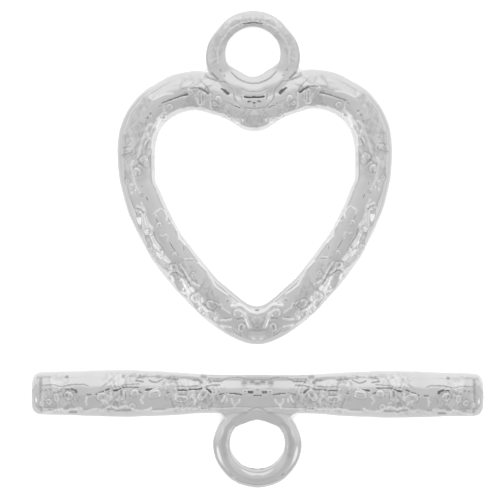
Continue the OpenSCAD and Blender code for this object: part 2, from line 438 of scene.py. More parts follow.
def even_out(field, points, quads):
    """Spreads the points evenly along the surface, without leaving it."""
    ends = np.concatenate([quads[:, [i, (i + 1) % 4]] for i in range(4)])
    ends = np.concatenate([ends, ends[:, ::-1]])
    count = np.bincount(ends[:, 0], minlength=len(points))[:, None]
    middle = np.stack(
        [np.bincount(ends[:, 0], points[ends[:, 1], i], len(points)) for i in range(3)], axis=1
    ) / count
    normal = gradient(field, points)
    normal /= np.linalg.norm(normal, axis=1, keepdims=True)
    move = middle - points
    move -= (move * normal).sum(1, keepdims=True) * normal
    return points + EVEN_SHARE * move


def refined(points, quads, chosen, parts):
    """Splits the sides of chosen quads in parts; neighbours take the new points into their outlines."""
    sides = np.stack([quads, np.roll(quads, -1, axis=1)], axis=2)
    edges, which = np.unique(np.sort(sides, axis=2).reshape(-1, 2), axis=0, return_inverse=True)
    which = which.reshape(-1, 4)
    split = np.zeros(len(edges), bool)
    split[which[chosen].ravel()] = True
    first = np.full(len(edges), -1)
    first[split] = len(points) + (parts - 1) * np.arange(split.sum())
    share = np.arange(1, parts) / parts
    low, high = points[edges[split, 0]], points[edges[split, 1]]
    on_edges = low[:, None] + (high - low)[:, None] * share[None, :, None]
    # New points along each side of each quad, in the quad's own order
    steps = np.arange(parts - 1)
    ordered = (sides[:, :, 0] < sides[:, :, 1])[:, :, None]
    along = first[which][:, :, None] + np.where(ordered, steps, steps[::-1])
    corners = quads[chosen]
    number = np.zeros((len(corners), parts + 1, parts + 1), int)
    number[:, 0, 0], number[:, parts, 0], number[:, parts, parts], number[:, 0, parts] = corners.T
    number[:, 1:parts, 0] = along[chosen, 0]
    number[:, parts, 1:parts] = along[chosen, 1]
    number[:, 1:parts, parts] = along[chosen, 2][:, ::-1]
    number[:, 0, 1:parts] = along[chosen, 3][:, ::-1]
    start = len(points) + (parts - 1) * split.sum()
    inner = start + np.arange(len(corners) * (parts - 1) ** 2)
    number[:, 1:parts, 1:parts] = inner.reshape(-1, parts - 1, parts - 1)
    a, b, c, d = (points[corners[:, i]][:, None, None] for i in range(4))
    i, j = share[None, :, None, None], share[None, None, :, None]
    inside = (a * (1 - i) + b * i) * (1 - j) + (d * (1 - i) + c * i) * j
    points = np.concatenate([points, on_edges.reshape(-1, 3), inside.reshape(-1, 3)])
    faces = []
    for i in range(parts):
        for j in range(parts):
            cell = [number[:, i, j], number[:, i + 1, j], number[:, i + 1, j + 1], number[:, i, j + 1]]
            faces += np.stack(cell, axis=1).tolist()
    bordered = split[which]
    for quad, taken, new in zip(quads[~chosen].tolist(), bordered[~chosen], along[~chosen].tolist()):
        outline = []
        for corner, is_split, numbers in zip(quad, taken, new):
            outline.append(corner)
            if is_split:
                outline += numbers
        faces.append(outline)
    return points, faces


def needs_detail(body, marked, points, quads):
    """Which quads to split finer."""
    around = points[quads]
    middle = around.mean(axis=1)
    halfway = (around + np.roll(around, -1, axis=1)) / 2
    normals = []
    for place in (middle, *np.moveaxis(around, 1, 0)):
        slope = gradient(body, place)
        normals.append(slope / np.linalg.norm(slope, axis=1, keepdims=True))
    sharpest = np.min([(normals[0] * normal).sum(1) for normal in normals[1:]], axis=0)
    facing = normals[0][:, 2]
    chosen = (facing > FINE_FACING) | ((sharpest < FINE_BEND) & (facing > FINE_LOWEST))
    for place in (middle, *np.moveaxis(around, 1, 0), *np.moveaxis(halfway, 1, 0)):
        chosen |= marked(*place.T) & (place[:, 2] > 0)
    return chosen


def cast(name, body, carved, wear_and_light_at, marked, box, cell, place, turn_z):
    """A casting as one mesh: a net over its bare body, then pulled onto its carved surface."""
    points, quads = net_over(body, *box, cell)
    points = drop_onto(body, points, 3, cell)
    for _ in range(EVEN_ROUNDS):
        points = even_out(body, points, quads)
        points = drop_onto(body, points, 1, cell)
    chosen = needs_detail(body, marked, points, quads)
    points, faces = refined(points, quads, chosen, FINE_PARTS)
    points = drop_onto(body, points, 2, cell)
    points = drop_onto(carved, points, 4, cell / 4)
    wear_and_painted_light = wear_and_light_at(*points.T)
    normals = gradient(carved, points)
    normals /= np.linalg.norm(normals, axis=1, keepdims=True)
    turn = np.array([
        [math.cos(turn_z), -math.sin(turn_z), 0],
        [math.sin(turn_z), math.cos(turn_z), 0],
        [0, 0, 1],
    ])
    points = points @ turn.T + place
    normals = normals @ turn.T
    points[:, 2] = np.maximum(points[:, 2], 0)
    mesh = bpy.data.meshes.new(name)
    mesh.from_pydata((points * MM).tolist(), [], faces)
    mesh.update()
    mesh.shade_smooth()
    mesh.normals_split_custom_set_from_vertices(normals.tolist())
    # Tone by rubbing and tarnish, partly painted highlight and painted shade, kept for the material
    mesh.attributes.new("wear_and_painted_light", "FLOAT", "POINT").data.foreach_set("value", wear_and_painted_light)
    piece = bpy.data.objects.new(name, mesh)
    bpy.context.scene.collection.objects.link(piece)
    return piece


# The cast relief of the front, mirrored left to right and repeated on the back. Places and widths are
# in the photo's pixels on its left half; heights are in millimetres, and a negative one is sunk.

# Heart, lumps and pits: one end (x, y), other end (x, y), half width, height
HEART_LUMPS = [
    (189, 90.8, 189.4, 91.4, 3.2, 0.06),
    (192, 89, 199.8, 89.8, 2.6, 0.05),
    (199.2, 92, 199.4, 102, 2.6, 0.05),
    (218, 98.6, 218.4, 99.4, 3.4, 0.05),
    (213.6, 103.4, 214.4, 104, 2, 0.04),
    (225.5, 104.6, 225.6, 110.4, 1.1, 0.05),
    (227.7, 104.6, 227.2, 107.6, 1.1, 0.05),
    (228, 116.2, 228.6, 116.6, 2.6, 0.04),
    (237, 119.8, 237.6, 120.2, 3, 0.08),
    (168.6, 106.2, 169.4, 106.4, 3.2, 0.03),
    (163.2, 116.6, 163.4, 116.8, 3, 0.06),
    (147, 117, 147, 117.4, 2.2, -0.06),
    (149.9, 116, 150.2, 116.2, 1.8, 0.06),
    (149.8, 112.6, 149.8, 113.2, 1.6, -0.05),
    (147.1, 134.8, 147.5, 133.4, 2, 0.07),
    (128.8, 137.2, 132.6, 139.4, 1.5, 0.06),
    (154.4, 129.6, 154.8, 129, 2, 0.06),
    (142.8, 159.2, 143.2, 158.8, 4.6, 0.06),
    (143.6, 158.8, 144, 158.8, 2, 0.05),
    (139, 166.2, 139.4, 166.2, 2, 0.05),
    (136.2, 170.6, 136.6, 171, 4.2, 0.06),
    (136.6, 174.4, 137.4, 174.4, 1.2, -0.06),
    (127.4, 180.2, 127.4, 181, 2.2, 0.03),
    (130.8, 186, 131, 186.8, 2.4, 0.03),
    (134.7, 190, 134.9, 190, 1.8, 0.08),
    (131.7, 192.2, 131.9, 192.2, 1.6, 0.07),
    (136.5, 209.1, 136.7, 209.1, 1.6, 0.05),
    (146.2, 229.4, 146.4, 229.8, 3.2, 0.07),
    (162.3, 251.6, 162.5, 252, 2.4, 0.07),
    (155.1, 215.4, 155.3, 216, 1.8, 0.04),
    (157.6, 225.4, 159.4, 224, 2.4, 0.04),
    (173.6, 254, 174, 254, 2.4, 0.04),
    (173.2, 266.6, 173.6, 267, 4.2, 0.05),
    (173.2, 266.6, 173.6, 267, 1.9, -0.05),
    (192.7, 273.4, 193.1, 273.8, 2.2, 0.03),
    (194.6, 297.4, 195, 297.8, 4.2, 0.07),
    (194.6, 297, 195, 297.4, 1.9, -0.05),
    (193.9, 301.2, 194.1, 301.2, 1.4, 0.05),
    (197.9, 287.2, 198.1, 287.4, 1.6, 0.05),
    (209.5, 304, 214.6, 305.6, 4.4, 0.05),
    (219.3, 305.8, 219.5, 306, 1.6, -0.08),
    (227, 300.2, 227, 300.8, 1.4, -0.05),
    (215.8, 317.4, 216, 317.8, 2.7, 0.07),
    (209.3, 313.4, 209.5, 314.8, 1.4, -0.07),
    (237.6, 312.6, 238.4, 313, 5, 0.06),
    (241, 325.6, 241, 328.2, 3.4, 0.06),
    (241, 326, 241, 328, 1.3, -0.05),
    (252.6, 337.4, 253.2, 337.6, 1.8, 0.08),
]

# Heart, ridges and grooves: points along it, half width, height
HEART_LINES = [
    ([(163.6, 106.4), (163.8, 110.9), (166.8, 114.2)], 1.2, 0.08),
    ([(163.4, 112), (159.3, 115.3), (156.4, 118.4)], 1.3, 0.08),
    ([(164.7, 115.3), (169.1, 113.2), (174.5, 110.2), (180, 107.8)], 1.1, 0.05),
    ([(151.3, 123.4), (147.7, 125.1), (145.4, 128.2), (144.6, 133)], 1.4, 0.08),
    ([(144.6, 133), (141, 141.6), (138.8, 152), (137.2, 157)], 1.4, 0.08),
    ([(156.2, 128), (153, 133.4), (151.4, 138), (150.4, 147)], 1.4, 0.06),
    ([(151, 137.6), (147.7, 138.3), (145.5, 141.4), (144.1, 144)], 1.2, 0.07),
    ([(148.8, 140.4), (145.9, 143.4), (145.6, 148.2)], 1, -0.05),
    ([(123.4, 147.8), (126.3, 146.1), (130.4, 145.4)], 1, -0.06),
    ([(121.4, 154.8), (128, 152.3), (131.6, 152.2), (131.6, 149.7)], 1, -0.06),
    ([(145.2, 153.2), (138.6, 156.8), (137.3, 159), (143.4, 165.7)], 1, -0.06),
    ([(132.5, 160.4), (131.4, 165), (131.4, 170.4), (133, 175.3)], 1.4, 0.08),
    ([(133, 175.3), (135.7, 185.6), (139.4, 192.6)], 1.4, 0.08),
    ([(139.5, 193.3), (142.4, 193.2)], 0.9, -0.05),
    ([(139.5, 195.5), (142.4, 195.4)], 0.9, -0.05),
    ([(140.9, 202.3), (144.7, 210.8), (145.1, 215.2)], 1.3, 0.08),
    ([(145.1, 215.2), (147.2, 218.8), (147.4, 222.4), (151.9, 227.9)], 1.3, 0.07),
    ([(136, 205.4), (140.5, 207.2), (143.6, 210)], 1.4, 0.08),
    ([(136.3, 207.4), (140.5, 209), (143, 212)], 0.9, -0.05),
    ([(142.8, 227.3), (144.5, 225.7), (147.2, 225.4), (151.7, 229.2), (153, 236)], 1.3, 0.07),
    ([(143.4, 229.2), (145.9, 227.5), (148.6, 227.9)], 0.9, -0.05),
    ([(157.8, 249.4), (161, 249)], 1, -0.05),
    ([(153.2, 231), (156.6, 239.3), (162, 246.7), (165, 252)], 1, -0.05),
    ([(160.1, 208.2), (163.7, 211.2), (165.8, 215.2), (165.8, 219.9)], 1.2, 0.06),
    ([(152.4, 213.6), (155.6, 210.6), (159, 209)], 1, 0.03),
    ([(168.4, 223), (171.7, 222.6), (176.7, 230.4), (178.4, 238), (183.8, 243.8)], 1.3, 0.06),
    ([(160, 234.2), (162.4, 235.8), (166, 234), (168.2, 237), (167.3, 240.6)], 1, 0.04),
    ([(183.3, 245.4), (183.5, 249.8)], 1, -0.05),
    ([(184.3, 258.2), (191.6, 258.4)], 0.9, 0.04),
    ([(185.8, 259.6), (191.8, 259.7)], 0.9, -0.04),
    ([(163, 264.6), (169, 263.6), (175, 263.1)], 1, -0.05),
    ([(170.3, 270.9), (173, 269.4), (177, 269.9), (182.2, 275)], 1.3, 0.08),
    ([(169.8, 274.4), (173, 271.8), (176.5, 271.8), (181, 275.6)], 1, -0.06),
    ([(179.2, 264), (186.8, 274.8), (191.3, 281), (195.7, 284.6), (199.3, 285.6)], 1.2, 0.05),
    ([(178.6, 264.8), (185, 275.9), (190.6, 285)], 1, -0.05),
    ([(195.8, 293.2), (198.9, 295.8), (199.3, 300.4)], 1.2, 0.07),
    ([(203.3, 302.5), (208.2, 308.3), (213.6, 308.9), (217.6, 306), (213.6, 301.8)], 1, -0.05),
    ([(220.3, 303.8), (223, 308.6), (229.3, 312.6)], 1.4, 0.04),
    ([(232, 305.6), (236, 304.4), (241, 304.6), (250.2, 311), (256.8, 313.2)], 3, 0.06),
    ([(255.4, 309.7), (256.7, 309.7)], 1.2, -0.05),
    ([(240.9, 310.8), (244.9, 314.4), (246.9, 320.4), (249.3, 327)], 2.2, 0.05),
    ([(236.4, 318.7), (240.4, 317.4), (242.4, 318.2)], 1.2, -0.07),
    ([(220.8, 319.6), (225.7, 319.7), (230.6, 318.8)], 1.2, 0.06),
    ([(223.9, 317.7), (229.5, 317)], 1, -0.05),
    ([(232.4, 328.4), (235.5, 332.2), (241, 335)], 1.1, -0.04),
    ([(255.4, 327.3), (256.8, 327.3)], 1, -0.05),
    ([(249.5, 329.6), (256.8, 329.6)], 1, -0.02),
    ([(198, 262.3), (206.9, 271.3), (209, 276.6), (214.9, 286.4), (227, 294.5)], 1.8, 0.05),
    ([(191.2, 87.6), (196, 87), (199.8, 87.6)], 0.9, -0.05),
    ([(187.2, 89.4), (188.2, 87.2), (192.2, 85.3), (197, 86)], 1, 0.05),
    ([(202, 94.6), (202, 99.2)], 0.9, -0.05),
    ([(202.9, 94.6), (202.9, 103)], 0.9, 0.05),
    ([(195.4, 95), (196.4, 100.8), (197.4, 103.2), (199.6, 104.4)], 0.9, 0.05),
    ([(200.6, 80.9), (207.3, 88), (210, 93), (211.7, 97)], 1, -0.03),
    ([(209.9, 93.4), (209.9, 105.6), (211.7, 107.5)], 1, 0.05),
    ([(211.7, 106.2), (215, 107), (218.4, 106.4)], 0.9, -0.05),
    ([(215.7, 100.2), (218.9, 104.2)], 0.9, -0.05),
    ([(152, 99.5), (158, 96.8), (164.7, 94.6), (172, 93.6)], 2.2, 0.02),
    ([(219.8, 80.7), (225.1, 81.6), (229.6, 86), (232.3, 88.4), (233.6, 92.8)], 1.1, -0.05),
    ([(233.6, 92.8), (233.6, 96.4), (235.4, 100.1), (243.6, 107.4), (255.6, 108.4)], 1.1, -0.05),
    ([(230.6, 71.8), (236.6, 77.2), (241.7, 80.4), (247.2, 82.2), (255, 82.4)], 0.9, -0.05),
    ([(240.8, 88.6), (245.4, 90.5), (250.4, 91.4), (255, 91.4)], 1, -0.025),
    ([(240.4, 93.6), (240.8, 96.9), (241.8, 98.9)], 1, -0.06),
    ([(242.5, 94.6), (242.7, 99)], 0.8, 0.05),
    ([(211.3, 72.9), (214.5, 75.6), (218, 78.4)], 1.3, -0.06),
    ([(208.2, 77.2), (214.4, 79), (219.8, 80.7)], 1.2, -0.04),
    ([(219.6, 68.8), (220.2, 70.6)], 1, -0.06),
    ([(223.3, 75), (223.8, 75.8)], 1, -0.05),
    ([(218.8, 55), (220.2, 50)], 0.9, -0.04),
    ([(252.6, 20.4), (240.2, 22.6), (229.2, 29.2), (221, 39), (216.9, 51), (217.6, 63.6)], 1, 0.03),
]

# Heart, dents whose steep side mirrors the paper: one end (x, y), other end (x, y) with the gentle
# side on the right of the way there, half width of the steep side, depth
HEART_DENTS = [
    (157.6, 126.6, 160.8, 118.4, 3.6, 0.1),
    (141.2, 217.6, 141.8, 225.4, 2.6, 0.1),
    (150.6, 238.6, 153.4, 245.8, 3.6, 0.12),
    (153.4, 245.8, 157.4, 249.8, 3.2, 0.1),
    (155.4, 253.6, 161.8, 257.4, 3, 0.11),
    (161.8, 257.4, 166, 261.4, 3, 0.11),
    (170.6, 277.4, 171.2, 279.4, 3, 0.11),
    (180.7, 280, 183.4, 285.8, 3.4, 0.12),
    (183.4, 285.8, 187.4, 292.4, 3.6, 0.13),
    (197.6, 302, 199.6, 305.6, 2.6, 0.09),
    (199.6, 305.6, 204.4, 310.4, 3, 0.1),
    (204.4, 310.4, 213.4, 312.8, 2.4, 0.07),
    (221, 325.6, 229.4, 327.2, 2.4, 0.07),
]

# Heart, facets that mirror what hangs overhead: points along it, half width at its start and end
HEART_FACETS = [
    ([(161, 102.8), (167.8, 99.6), (176.3, 96.8), (182, 94.8), (187, 93.6)], 0.8, 1.9),
    ([(199, 87.6), (203.7, 90), (207.6, 92.6)], 1.2, 1.8),
    ([(221.3, 88.3), (224.6, 90.6), (227.4, 92.6)], 1.2, 2.6),
    ([(243.6, 95.9), (250, 96.6), (256, 96.7)], 1.4, 1.7),
    ([(238, 24.2), (241.6, 23), (246.4, 22.2), (255, 21.8)], 0.5, 1.3),
]

# Bar, lumps and pits, as on the heart
BAR_LUMPS = [
    (41, 402.6, 40.9, 404.2, 2.6, 0.12),
    (41.7, 397.4, 41.4, 400, 1.3, 0.06),
    (45.6, 390, 45.6, 390.4, 1.5, -0.04),
    (49.4, 389.4, 50, 390, 1.5, -0.04),
    (53.2, 390.6, 53.6, 391, 1.4, 0.03),
    (48.2, 401.4, 48.8, 401.8, 2.8, 0.05),
    (55.7, 395.6, 55.8, 399, 2.6, 0.05),
    (68, 395.6, 68.4, 395.8, 4.4, 0.06),
    (66.3, 394.6, 66.7, 397, 1, -0.04),
    (70.2, 396.2, 70.8, 398, 1, -0.04),
    (66.2, 376.8, 67, 376.8, 1.7, -0.05),
    (100, 397, 106, 397.6, 4.2, 0.03),
    (102.4, 400.4, 102.9, 400.8, 2.1, 0.09),
    (105.8, 402.4, 106.2, 402.4, 2.1, 0.09),
    (105.5, 393.8, 105.7, 394.2, 1.5, 0.05),
    (116.4, 399.6, 116.6, 399.8, 1.5, 0.06),
    (118.4, 396.2, 119.2, 397, 1.2, 0.06),
    (124.2, 401.8, 124.4, 402.2, 1.8, 0.05),
    (121.3, 391.8, 121.6, 396.4, 3.6, 0.06),
    (120.6, 391, 121.4, 395.4, 1, -0.04),
    (125, 391.8, 125, 397.2, 1, -0.04),
    (133.8, 393, 134.2, 393, 4.2, 0.06),
    (129.4, 395.2, 129.6, 395.4, 1.3, -0.07),
    (128, 394.6, 128.2, 395, 1.1, 0.05),
    (131.5, 406.4, 131.9, 406.4, 3.2, 0.05),
    (151.6, 394.4, 156.4, 393.6, 4.4, 0.05),
    (168, 385.6, 172.6, 385.8, 5, 0.06),
    (178.6, 398.4, 184, 398.8, 3.4, 0.05),
    (200.4, 396.6, 204.6, 391.6, 4, 0.06),
    (201.3, 395.3, 204.9, 392.4, 1.3, -0.06),
    (201.6, 408.6, 207, 408.4, 2, 0.03),
    (202, 377, 205.4, 377, 2.4, -0.05),
    (244.2, 391.7, 244.6, 391.7, 2.9, 0.05),
    (244.2, 391.7, 244.6, 391.7, 1.2, -0.03),
    (250.6, 381.4, 252.4, 381.4, 2.8, -0.07),
    (243.4, 381.8, 244.6, 381.8, 3, -0.08),
    (255, 383.5, 257.8, 383.5, 1.4, -0.06),
    (231.2, 473.8, 231.3, 474.2, 1.3, -0.06),
    (234.4, 478.2, 234.8, 478.6, 1.4, -0.06),
]

# Bar, ridges and grooves, as on the heart
BAR_LINES = [
    ([(41.2, 385.3), (55, 385.4), (59.4, 386.8), (64, 386.3), (74.6, 384.5)], 1, -0.03),
    ([(74.6, 384.5), (83.6, 384.5), (87.8, 386.4)], 1, -0.03),
    ([(40.2, 378), (40.2, 390), (39.8, 399), (40.6, 410)], 2, -0.035),
    ([(86.2, 397.8), (85.6, 401.6), (86.2, 404.6)], 1.2, 0.07),
    ([(43.4, 412.4), (51.4, 411.2), (60.4, 408.8), (65.6, 411.6), (69, 409.6)], 1.3, 0.06),
    ([(69, 409.6), (75, 408.9), (81, 408.4)], 1.3, 0.06),
    ([(69.5, 411.8), (76, 411.8)], 1.6, -0.04),
    ([(84, 412), (90, 409.8), (96, 409), (104, 409.4), (107.2, 406.9), (110.7, 406.2)], 1.3, 0.06),
    ([(110.7, 406.2), (117, 408.6), (121, 406.8), (124.6, 405.9), (129, 407.6)], 1.3, 0.06),
    ([(121, 409.6), (129.6, 410)], 1.6, -0.04),
    ([(129, 407.6), (134, 410), (142.4, 410.2), (147.4, 409.9), (151, 408)], 1.3, 0.06),
    ([(152.6, 410.8), (163, 411), (175.8, 408.1), (183, 408.5)], 1.3, 0.05),
    ([(183, 408.5), (188.8, 408.1), (196.8, 408.5), (200, 406.8)], 1.3, 0.05),
    ([(121, 386.3), (127.3, 384.8), (131.7, 384.3), (138.6, 384.1)], 1, -0.03),
    ([(142.6, 396), (140.3, 399.7), (142.5, 402.9)], 1.2, 0.08),
    ([(148.6, 396), (149, 392.6), (151.4, 390.4), (157.2, 388.4)], 1, 0.05),
    ([(110, 393), (111, 398), (108.6, 401.6)], 1, 0.04),
    ([(135.7, 380.4), (142.4, 381.9)], 1, -0.05),
    ([(148.7, 380.2), (151.8, 381.6), (155.8, 382.1), (162.2, 379.6)], 1, -0.05),
    ([(137, 377.4), (141, 376.8), (144.6, 376.6)], 1, -0.04),
    ([(166, 378.5), (170, 378.1), (177.8, 379.5)], 1.1, -0.06),
    ([(192.8, 379.3), (196, 379.8), (199, 380.1), (200.9, 382.6)], 1.6, -0.08),
    ([(208.4, 382.3), (211.1, 380.7), (220, 381.4), (223.6, 379.2), (228, 377.8)], 1.1, -0.06),
    ([(176, 386.8), (187, 386.6), (197, 386.2)], 1, -0.03),
    ([(205, 386.4), (211, 385.3), (219, 385.1)], 1, -0.03),
    ([(191.4, 395.2), (192.8, 398), (194.6, 399.8), (194.7, 403.8)], 1.2, 0.08),
    ([(190, 397.6), (192.4, 401.6)], 0.9, -0.05),
    ([(175.4, 394.8), (175.2, 399.6)], 1, 0.07),
    ([(231.4, 399.2), (232.2, 402.4), (234.4, 404.6), (233, 408)], 1.3, 0.08),
    ([(239.3, 400), (238.4, 402), (235.4, 404)], 1.2, 0.07),
    ([(224.4, 396.4), (221.2, 402)], 1.2, 0.06),
    ([(226.6, 398.6), (226.4, 402)], 1, 0.05),
    ([(227.4, 377.4), (240.8, 377.7), (247, 379.5), (257.8, 379.2)], 1, -0.05),
    ([(257, 389.4), (257.8, 391.2)], 1.1, -0.06),
    ([(248.4, 410.9), (252, 408.3), (257.8, 407)], 1, -0.04),
    ([(232.6, 427.3), (229, 432.5), (226.9, 438), (226.4, 444)], 1.4, 0.13),
    ([(245, 413.4), (234, 419.6), (226.4, 429.6), (222.6, 442.4), (224.4, 455)], 3.4, -0.022),
    ([(224.4, 455), (231, 466.4), (245.4, 477.2), (258.8, 480.8)], 3.4, -0.022),
    ([(226, 417), (222.4, 431), (218.6, 440.6)], 0.9, 0.03),
    ([(253.2, 476.6), (257.8, 476.6)], 1, -0.05),
]

# Bar, facets, as on the heart. It has no dents.
BAR_FACETS = [
    ([(65.4, 389.4), (69, 389.1), (72, 389)], 1, 1.5),
    ([(71.2, 389), (75.2, 390.4), (75.8, 391.8)], 1.4, 2),
    ([(86, 394.7), (90.4, 394.7)], 1, 1),
    ([(94.6, 394.3), (96.4, 394.1)], 0.9, 0.9),
    ([(98.9, 392.6), (102.4, 391.6), (105.2, 390.4)], 0.8, 1.1),
    ([(105.2, 390.4), (108.9, 388.4)], 1.1, 0.8),
    ([(113.4, 390), (116.4, 390), (120.4, 388.5)], 1.6, 0.9),
    ([(122, 387.3), (130.6, 387), (138.4, 387.4)], 0.7, 0.9),
    ([(138.4, 391.9), (141.1, 393.1)], 1, 1.2),
    ([(145.2, 390), (148.7, 389), (151.8, 388.3)], 1.5, 0.9),
    ([(165.8, 392.5), (169.4, 392.5)], 0.8, 0.8),
    ([(177.4, 390.4), (182.1, 389.8), (189, 389.6)], 1.1, 1.1),
    ([(188.6, 389.6), (196.8, 389.4), (201.6, 388)], 1.1, 0.9),
    ([(206.4, 388.8), (208.6, 390.4), (210.5, 392.4)], 1, 1.8),
    ([(218.6, 394.4), (220.7, 393.6), (223.8, 393.4)], 0.8, 1),
    ([(228.7, 393.6), (238.6, 393.5), (241, 394.8)], 1.1, 0.9),
    ([(248.2, 392.1), (251.8, 392)], 1.7, 1.7),
    ([(253.2, 395.3), (258, 395.3)], 1.1, 1.1),
]

# A facet lies between its lowest and its mean place, in these shares, and is sunk a little. It
# reaches past its half width by this factor, and fades in over this share of it.
FACET_LEVEL = (0.7, 0.3)
FACET_SUNK = 0.01
FACET_REACH = 1.35
FACET_FADE = 0.5
# The moat round a lump: its depth and width, as shares of the lump's
MOAT_DEPTH = 0.25
MOAT_WIDTH = 0.4
# Lighter edges of lumps, and darker moats round them: how much, and where, as shares of half width
LUMP_EDGE_LIGHTER = 0.35
LUMP_EDGE = 0.75
LUMP_MOAT = 0.3
LUMP_FOOT = 1.1
LUMP_BAND = 0.3
# Lumps this high are lightest all over, and lines this high at their middle: polish with a painted
# highlight
BRIGHT_RISE = 0.07
BRIGHT_LINE = 0.06
# How much gentler a dent is on its outer side, and how light its outer and its steep side are: wear,
# and on the steep side, which mirrors the paper, a painted highlight
DENT_LEAN = 0.4
DENT_WEAR_AND_HIGHLIGHT = (0.3, 0.9)
# The relief fades out toward the castings' middle plane, from this height, and counts from this on
RELIEF_FADE = 0.3
LEAST_MARK = 0.002
# How far marks stray from their drawn shape, and the waves by which they do, across and along: how
# they change with the place across and along, and their phase
MARK_WOBBLE = 0.012
WOBBLE_WAVES = ((2.3, 7.1, 0.7), (6.3, -3.1, 1.9))


def stretch_distance(u, v, u0, v0, u1, v1):
    """Distance from points u, v to a straight stretch."""
    du, dv = u1 - u0, v1 - v0
    share = np.clip(((u - u0) * du + (v - v0) * dv) / max(du * du + dv * dv, 1e-9), 0, 1)
    return np.hypot(u - u0 - share * du, v - v0 - share * dv)


def rounded(q, power):
    """Height across a mark: 1 at its middle, 0 from its edge on, steeper there for a higher power."""
    return np.where(q < 1, (1 - np.minimum(abs(q), 1) ** power) ** 2, 0)


def within(u, v, points, reach):
    """Which points lie in the box round a mark."""
    low = np.min(points, axis=0) - reach
    high = np.max(points, axis=0) + reach
    return np.flatnonzero((u > low[0]) & (u < high[0]) & (v > low[1]) & (v < high[1]))


def relief(u, v, lumps, lines, dents):
    """Height of the cast relief at the photo's pixels u, v on the left half, and its tone there: up to
    1 on polished edges with painted highlights, down to -1 in tarnished grooves with painted shade."""
    height = np.zeros_like(u)
    wear_and_painted_light = np.zeros_like(u)
    for u0, v0, u1, v1, half_w, rise in lumps:
        near = within(u, v, [(u0, v0), (u1, v1)], (1 + MOAT_WIDTH) * half_w)
        q = stretch_distance(u[near], v[near], u0, v0, u1, v1) / half_w
        # The lump, and the shallow moat round it
        height[near] += rise * (rounded(q, 4) - MOAT_DEPTH * rounded((q - 1) / MOAT_WIDTH, 2))
        # High lumps are lightest all over, polish with a painted highlight; pits are darker, tarnish
        # with painted shade
        if rise >= BRIGHT_RISE:
            wear_and_painted_light[near] += rounded(q, 4)
        elif rise > 0:
            edge = LUMP_EDGE_LIGHTER * rounded((q - LUMP_EDGE) / LUMP_BAND, 2)
            wear_and_painted_light[near] += edge - LUMP_MOAT * rounded((q - LUMP_FOOT) / LUMP_BAND, 2)
        else:
            wear_and_painted_light[near] -= rounded(q, 2)
    for line, half_w, rise in lines:
        near = within(u, v, line, half_w)
        gap = np.full(len(near), FAR)
        for (u0, v0), (u1, v1) in zip(line, line[1:]):
            gap = np.minimum(gap, stretch_distance(u[near], v[near], u0, v0, u1, v1))
        height[near] += rise * rounded(gap / half_w, 2)
        # Ridges are lighter and grooves darker: polish and tarnish, with a painted highlight and
        # painted shade
        wear_and_painted_light[near] += math.copysign(min(1, abs(rise) / BRIGHT_LINE), rise) * rounded(gap / half_w, 3)
    for u0, v0, u1, v1, half_w, sunk in dents:
        near = within(u, v, [(u0, v0), (u1, v1)], half_w / DENT_LEAN)
        du, dv = u[near] - u0, v[near] - v0
        outside = du * (v1 - v0) - dv * (u1 - u0) < 0
        gap = stretch_distance(u[near], v[near], u0, v0, u1, v1)
        profile = rounded(np.where(outside, DENT_LEAN, 1) * gap / half_w, 2)
        height[near] -= sunk * profile
        # The steep side of a dent, which mirrors the paper, is lighter: wear with a painted highlight
        wear_and_painted_light[near] += profile * np.where(outside, *DENT_WEAR_AND_HIGHLIGHT)
    return height, np.clip(wear_and_painted_light, -1, 1)


def waves(count, seed, low, high):
    """Directions and phases of faint waves, with lengths between low and high."""
    pick = np.random.default_rng(seed)
    way = pick.normal(size=(count, 3))
    way /= np.linalg.norm(way, axis=1, keepdims=True)
    length = pick.uniform(low, high, (count, 1))
    return way * 2 * math.pi / length, pick.uniform(0, 2 * math.pi, count)


SWELL_WAVES = waves(22, 5, 0.7, 2.2)
SWELL_HEIGHT = 0.0022


def swell(x, y, z):
    """Faint unevenness of hand-finished metal."""
    height = np.zeros_like(x)
    for way, phase in zip(*SWELL_WAVES):
        height += np.sin(way[0] * abs(x) + way[1] * y + way[2] * z + phase)
    return SWELL_HEIGHT * height


# Flat pebbles: their waves, height, how gently they end, how wide their gaps are, and how much wear
# their tops and tarnish their gaps have
PEBBLE_WAVES = waves(14, 11, 0.42, 1.1)
PEBBLE_RISE = 0.01
PEBBLE_EDGE = 1.1
PEBBLE_GAP = 0.8
PEBBLE_WORN = 0.15
PEBBLE_TARNISH = 0.35
# They begin at this share of the crest's height and are full a little higher
PEBBLE_FROM = 0.4
PEBBLE_FULL = 0.25
# Long waves that leave some stretches calm: mean strength and how much it varies
CALM_WAVES = waves(8, 3, 2, 5)
CALM_MEAN = 0.55
CALM_CHANGE = 0.4
# Specks of wear and tarnish among the pebbles, which stop short of the bar's end faces
SPECK_WAVES = waves(16, 29, 0.15, 0.32)
SPECK_LEVEL = 2.6
SPECKS_END = (11.5, 10.6)
HEART_SPECKS = 0.15
BAR_SPECKS = 0.32


def wave_sum(field_waves, x, y):
    """Sum of waves at points of the casting, mirrored left to right and alike on front and back."""
    height = np.zeros_like(x)
    for way, phase in zip(*field_waves):
        height += np.sin(way[0] * abs(x) + way[1] * y + phase)
    return height


